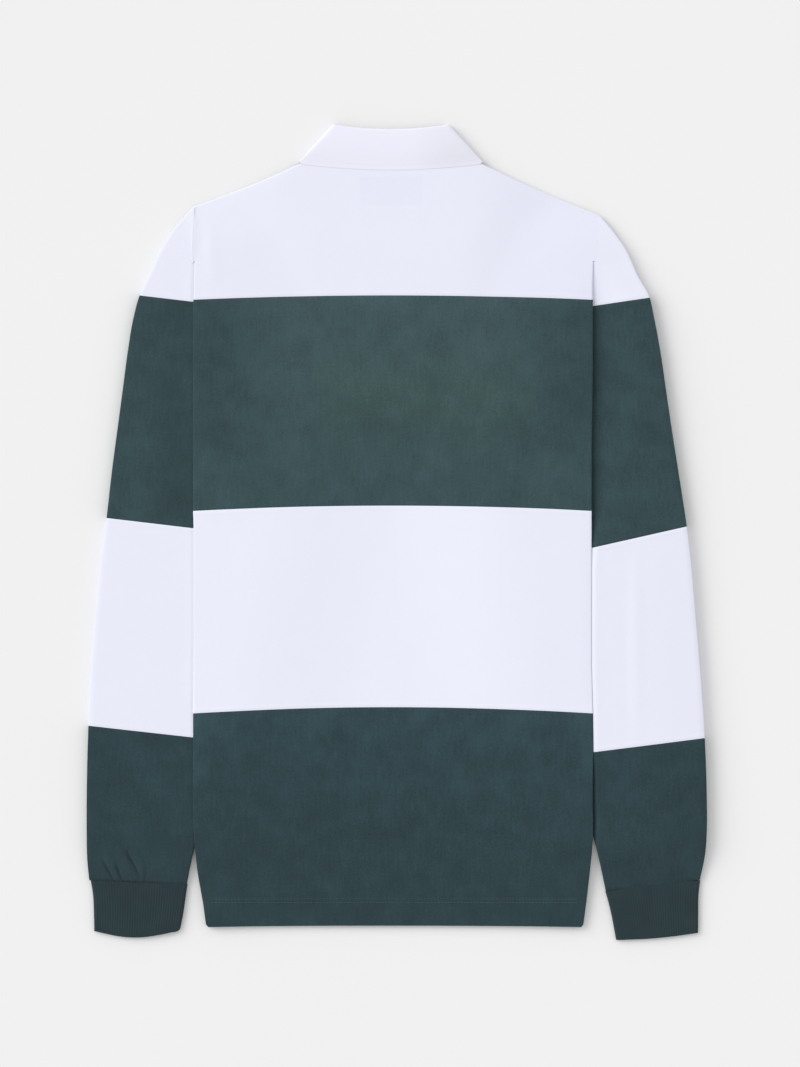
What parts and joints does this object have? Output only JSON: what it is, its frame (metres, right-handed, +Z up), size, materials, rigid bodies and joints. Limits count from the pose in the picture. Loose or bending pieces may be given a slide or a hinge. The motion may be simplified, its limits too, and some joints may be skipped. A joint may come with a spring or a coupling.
{
  "type": "rugby shirt",
  "caption": "Long-sleeved rugby shirt laid flat, face down, with wide white and dark green blocks, a white collar and ribbed cuffs.",
  "frame": {"origin": "middle of the shirt's box, on the floor it lies on", "axes": "+X across the shirt, +Y from the hem to the collar, +Z up, out of the back, which faces up"},
  "size_m": [0.5702, 0.749, 0.0077],
  "materials": {
    "white_jersey": "matt cotton jersey",
    "green_jersey": "matt cotton jersey",
    "green_rib": "matt ribbed knit",
    "white_collar": "matt woven twill",
    "button_white": "satin rubber"
  },
  "bodies": {
    "root": {"back_green_lower": "green_jersey", "back_white_middle": "white_jersey", "back_green_upper": "green_jersey", "front_green_lower": "green_jersey", "front_white_middle": "white_jersey", "front_green_upper": "green_jersey", "back_yoke": "white_jersey", "front_yoke_left": "white_jersey", "front_yoke_right": "white_jersey", "placket": "white_jersey", "button_1": "button_white", "button_2": "button_white", "button_3": "button_white", "collar": "white_collar", "sleeve_left_cap": "white_jersey", "sleeve_left_green_upper": "green_jersey", "sleeve_left_white_middle": "white_jersey", "sleeve_left_green_lower": "green_jersey", "cuff_left": "green_rib", "sleeve_right_cap": "white_jersey", "sleeve_right_green_upper": "green_jersey", "sleeve_right_white_middle": "white_jersey", "sleeve_right_green_lower": "green_jersey", "cuff_right": "green_rib"}
  },
  "joints": []
}
